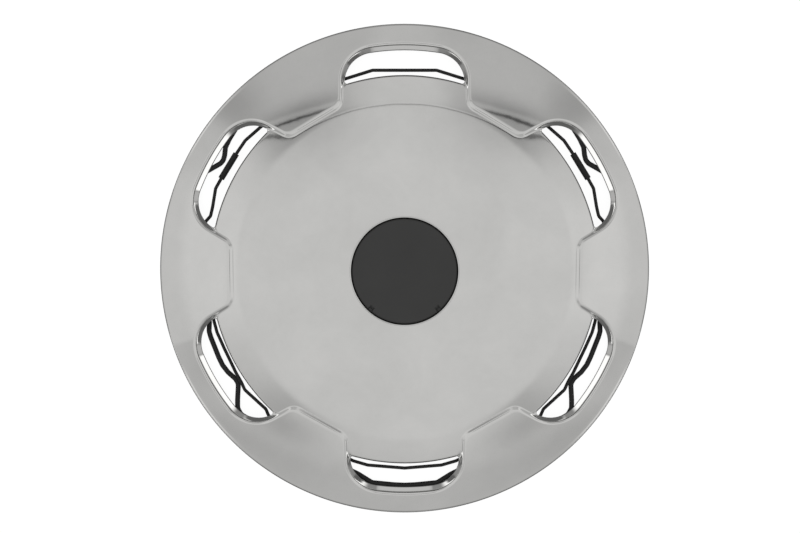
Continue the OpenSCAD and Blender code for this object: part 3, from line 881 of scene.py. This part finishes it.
def hill(x, cx, wx, y, cy, wy):
    """A round hill of height 1."""
    dx = mth("DIVIDE", mth("SUBTRACT", x, cx), wx)
    dy = mth("DIVIDE", mth("SUBTRACT", y, cy), wy)
    return mth("EXPONENT", mth("MULTIPLY", mth("ADD", mth("MULTIPLY", dx, dx), mth("MULTIPLY", dy, dy)), -1.0))


def times(*f):
    r = f[0]
    for g in f[1:]:
        r = mth("MULTIPLY", r, g)
    return r


def minus(a, b):
    return mth("SUBTRACT", a, b)


zc = mth("MAXIMUM", Z, 0.02)
PX = mth("DIVIDE", mth("ABSOLUTE", X), zc)
PY = mth("DIVIDE", Y, zc)
QY = mth("MULTIPLY", PY, -1.0)
AZ = mth("MULTIPLY", mth("ARCTAN2", Y, mth("ABSOLUTE", X)), 180 / pi)        # -90 .. 90, 0 is sideways
DN = mth("MULTIPLY", AZ, -1.0)
TH = mth("MULTIPLY", mth("ARCCOSINE", Z), 180 / pi)                        # from the zenith

# side walls, a little brighter than the ceiling and dimmer low down
e = mth("ADD", 0.85, times(smooth(TH, 40, 47), minus(1.0, smooth(mth("ABSOLUTE", AZ), 14, 28)), 0.06))
e = minus(e, times(smooth(TH, 56, 62), minus(1.0, smooth(mth("ABSOLUTE", AZ), 14, 28)), 0.09))
e = minus(e, times(smooth(AZ, 15, 30), smooth(TH, 49, 60), 0.10))
# wall towards +Y, with a brighter strip up its middle
wall = times(smooth(AZ, 35, 42), smooth(PY, 0.83, 0.88))
strip = times(minus(1.0, smooth(PX, 0.12, 0.40)), minus(1.0, mth("MULTIPLY", smooth(TH, 50, 60), 0.6)))
e = minus(e, times(wall, minus(mth("ADD", 0.19, times(smooth(AZ, 34, 42), smooth(TH, 49, 60), -0.10)), mth("MULTIPLY", strip, 0.16))))
# the seam between ceiling and that wall, and the shade round its ends
d = mth("DIVIDE", minus(PY, 0.787), 0.014)
d = times(d, d)
seam = mth("DIVIDE", 1.0, mth("ADD", 1.0, times(d, d)))
e = minus(e, times(seam, minus(1.0, smooth(PX, 0.9, 1.1)), mth("ADD", 0.38, mth("MULTIPLY", smooth(PX, 0.2, 0.6), 0.06))))
e = minus(e, mth("MULTIPLY", hill(PX, 0.58, 0.32, PY, 0.76, 0.19), 0.38))
e = minus(e, mth("MULTIPLY", hill(AZ, 42.5, 7.0, TH, 64.0, 13.0), 0.17))
# wall towards -Y
e = minus(e, times(smooth(DN, 27, 38), smooth(QY, 0.95, 1.6), 0.17))
e = minus(e, mth("MULTIPLY", hill(PX, 0.74, 0.32, QY, 0.98, 0.24), 0.22))
e = minus(e, mth("MULTIPLY", hill(DN, 41.0, 22.0, TH, 60.0, 11.0), 0.13))
# lower part of the sides, below a crisp edge
e = minus(e, times(smooth(DN, 19.6, 20.6), smooth(TH, 54, 60), minus(1.0, smooth(DN, 27, 38)), 0.11))
# near and below the horizon: bright sides, a dark belt under them, and a little light from lower down
A = mth("ABSOLUTE", AZ)
side = times(smooth(A, 13, 19), minus(1.0, smooth(A, 38, 58)))
end = smooth(A, 76, 84)
mid = minus(1.0, smooth(A, 10, 17))
belt = mth("ADD", mth("ADD", 0.36, mth("MULTIPLY", side, 1.3)), mth("ADD", mth("MULTIPLY", end, 0.42), mth("MULTIPLY", mid, 0.3)))
dark = mth("ADD", 0.17, mth("MULTIPLY", mid, 0.20))
low = mth("ADD", 0.20, times(mth("MAXIMUM", side, end), smooth(TH, 115, 118), minus(1.0, smooth(TH, 121, 126)), 0.32))
e = minus(e, times(smooth(TH, 72, 82), mth("ADD", 0.15, mth("MULTIPLY", smooth(A, 70, 82), 0.18))))
for at, to, layer in ((92, 95.5, belt), (99.5, 102, dark), (112, 116, low)):
    k = smooth(TH, at, to)
    e = mth("ADD", mth("MULTIPLY", e, minus(1.0, k)), mth("MULTIPLY", layer, k))
# low lamps on both sides
e = mth("ADD", e, times(smooth(TH, 66, 69), minus(1.0, smooth(TH, 78, 84)), smooth(A, 24, 30), minus(1.0, smooth(A, 40, 50)), 0.34))
# the opening straight above, that the picture is taken through
e = mth("MULTIPLY", e, mth("ADD", 0.24, mth("MULTIPLY", smooth(TH, 6.0, 8.0), 0.76)))
nt.links.new(e, bg.inputs["Strength"])
bg.inputs["Color"].default_value = (1.0, 0.998, 0.993, 1.0)

sun = bpy.data.lights.new("overhead", "AREA")
sun.shape = "DISK"
sun.size = 2.4
sun.energy = 6.0
so = bpy.data.objects.new("overhead", sun)
so.location = (0, 0.2, 2.6)
so.visible_glossy = False
scene.collection.objects.link(so)

cam = bpy.data.cameras.new("camera")
cam.sensor_width = 36.0
cam.sensor_fit = "HORIZONTAL"
DIST = 1.700
TILT = math.radians(1.75)
cam.lens = 36.0 / (2 * math.tan(math.atan(0.934 / 2 / DIST)))
cam.shift_x = -4.6 / 800
cam.shift_y = 2.8 / 800
cam.clip_end = 50.0
co_ = bpy.data.objects.new("camera", cam)
co_.location = (0, DIST * math.sin(TILT), DIST * math.cos(TILT))
co_.rotation_euler = (-TILT, 0, 0)
scene.collection.objects.link(co_)
scene.camera = co_
scene.view_settings.view_transform = "Standard"
scene.view_settings.look = "None"
scene.view_settings.exposure = 0.0
scene.view_settings.gamma = 1.0
